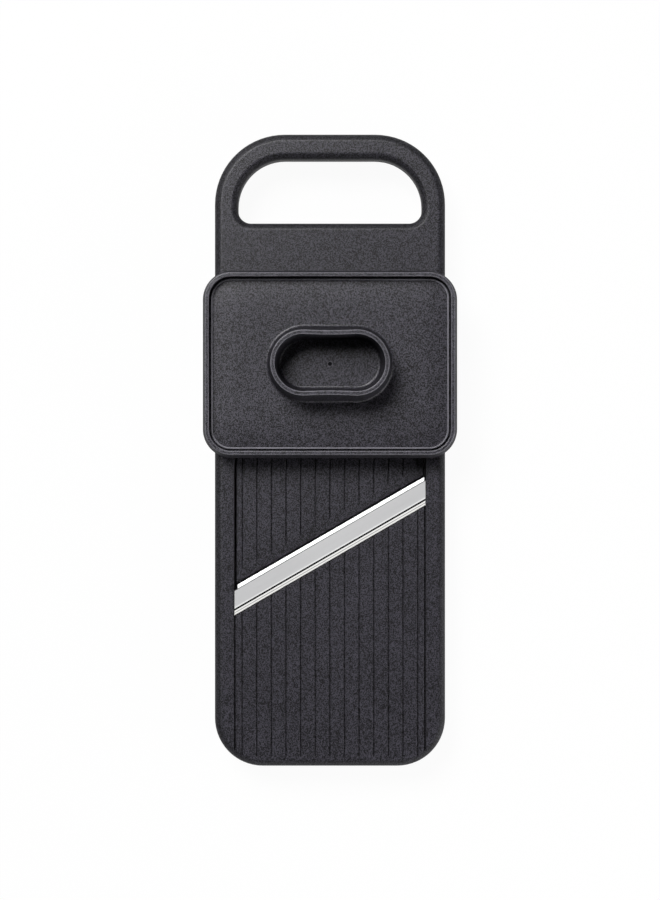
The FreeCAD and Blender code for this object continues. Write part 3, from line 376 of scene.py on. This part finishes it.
bodyBlack = makeMouldedBlack("polypropylene-black-body", mouldedBlack)
guardBlack = makeMouldedBlack("polypropylene-black-guard", guardBlackLook)
bladeSteel = makeGroundBlade("stainless-ground-blade", groundBlade)
bridgeSteel = makeDrawnSteel("steel-rolled-bar", darkOxideAndSeamShade, groundBlade["angle"], groundLip)
pinSteel = makeDrawnSteel("stainless-drawn-pins", drawnSteel, 0)
darkPinSteel = makeDrawnSteel("steel-oxide-pins", darkOxideAndSeamShade, 0)
footRubber = makeMouldedRubber("rubber-moulded-feet", mouldedRubber)
dress(bodyBlack, "body_frame", "feed_plate", "thickness_slider")
dress(guardBlack, "guard_tray")
dress(bladeSteel, "slicing_blade")
dress(bridgeSteel, "blade_bridge")
dress(pinSteel, *[name for name in nodes if name.startswith(("food_pins", "blade_rivet"))])
dress(darkPinSteel, *[name for name in nodes if name.startswith("feed_pin")])
dress(footRubber, *[name for name in nodes if name.startswith("foot_")])
print("materials on all nodes")


# Pale studio floor, sizes in metres. It shows white to the camera around the object and inside the handle
# opening, but not under the body, where the thin gaps beside the feed plate look down into the dark.
studioFloor = dict(
    half=6,
    white="#f4f4f4",
    roughness=0.9,
    glow=0.95,
    darkHalfWidth=0.0595,
    darkNose=-0.1,
    darkNeck=0.105,
)


def makeFloor(look):
    half = look["half"]
    corners = [(-half, -half, 0), (half, -half, 0), (half, half, 0), (-half, half, 0)]
    mesh = bpy.data.meshes.new("studioFloor")
    mesh.from_pydata(corners, [], [(0, 1, 2, 3)])
    floor = bpy.data.objects.new("studioFloor", mesh)
    scene.collection.objects.link(floor)
    material, tree, shader = newMaterial("paper-matt-backdrop")
    axes = addAxes(tree, addNode(tree, "ShaderNodeTexCoord").outputs["Object"])
    inside = addMath(tree, "LESS_THAN", addMath(tree, "ABSOLUTE", axes["X"]), look["darkHalfWidth"])
    aboveNose = addMath(tree, "GREATER_THAN", axes["Y"], look["darkNose"])
    belowNeck = addMath(tree, "LESS_THAN", axes["Y"], look["darkNeck"])
    under = addMath(tree, "MULTIPLY", addMath(tree, "MULTIPLY", aboveNose, belowNeck), inside)
    path = addNode(tree, "ShaderNodeLightPath").outputs
    mirrored = addMath(tree, "MAXIMUM", path["Is Glossy Ray"], path["Is Transmission Ray"])
    seen = addMath(tree, "MAXIMUM", path["Is Camera Ray"], mirrored)
    showing = addMath(tree, "SUBTRACT", seen, under, use_clamp=True)
    share = addMath(tree, "MULTIPLY", showing, look["glow"])
    glow = addNode(tree, "ShaderNodeEmission", {"Color": (1, 1, 1, 1), "Strength": 1})
    setOutput(tree, share, shader.outputs["BSDF"], glow.outputs["Emission"])
    shader.inputs["Base Color"].default_value = linear(look["white"])
    shader.inputs["Roughness"].default_value = look["roughness"]
    mesh.materials.append(material)


# Soft light: a large softbox high up beyond the handle and to the left, a small one low beyond the nose, a
# white card low on the right, and a dim room with a white backdrop. Places and sizes in metres, power in
# watts.
studioLight = dict(
    room=0.03,
    horizon=0.1,  # upward part of the directions in which metal sees the white backdrop
    key=dict(place=(-0.84, 1.32, 1.96), size=(1.2, 1.2), power=70),
    fill=dict(place=(0.1, -1.0, 0.3), size=(0.8, 0.3), power=2.5),
    card=dict(place=(0.9, -0.45, 0.3), size=(0.9, 0.5), power=6),
)


def addSoftbox(name, place, size, power):
    lamp = bpy.data.lights.new(name, "AREA")
    lamp.shape = "RECTANGLE"
    lamp.size, lamp.size_y = size
    lamp.energy = power
    holder = bpy.data.objects.new(name, lamp)
    holder.location = place
    holder.rotation_euler = (-Vector(place)).to_track_quat("-Z", "Y").to_euler()
    scene.collection.objects.link(holder)


def makeRoom(look):
    world = bpy.data.worlds.new("dimRoom")
    scene.world = world
    world.use_nodes = True
    tree = world.node_tree
    tree.nodes.clear()
    light = addNode(tree, "ShaderNodeBackground", {"Color": (1, 1, 1, 1), "Strength": look["room"]})
    white = addNode(tree, "ShaderNodeBackground", {"Color": (1, 1, 1, 1), "Strength": 1})
    upward = addAxes(tree, addNode(tree, "ShaderNodeTexCoord").outputs["Generated"])["Z"]
    low = addMath(tree, "LESS_THAN", upward, look["horizon"])
    path = addNode(tree, "ShaderNodeLightPath").outputs
    mirrored = addMath(tree, "MAXIMUM", path["Is Glossy Ray"], path["Is Transmission Ray"])
    seen = addMath(tree, "MULTIPLY_ADD", mirrored, low, path["Is Camera Ray"], use_clamp=True)
    mix = addNode(tree, "ShaderNodeMixShader", {0: seen, 1: light.outputs["Background"],
                                                2: white.outputs["Background"]})
    addNode(tree, "ShaderNodeOutputWorld", {"Surface": mix.outputs[0]})


makeFloor(studioFloor)
makeRoom(studioLight)
addSoftbox("keySoftbox", **studioLight["key"])
addSoftbox("fillSoftbox", **studioLight["fill"])
addSoftbox("whiteCard", **studioLight["card"])
print("floor and light ready")


# Camera straight above, as in the photo. The view height is what the frame spans at the rails' top. Metres,
# and the sensor in mm.
photoView = dict(distance=1.1, railTop=0.021, viewHeight=0.4677, middle=0.0001, sensor=36)


def makeCamera(look):
    data = bpy.data.cameras.new("photoCamera")
    data.sensor_fit = "VERTICAL"
    data.sensor_height = look["sensor"]
    data.lens = look["sensor"] * look["distance"] / look["viewHeight"]
    camera = bpy.data.objects.new("photoCamera", data)
    camera.location = (0, look["middle"], look["railTop"] + look["distance"])
    scene.collection.objects.link(camera)
    scene.camera = camera


makeCamera(photoView)
scene.view_settings.view_transform = "Standard"
print("camera ready")
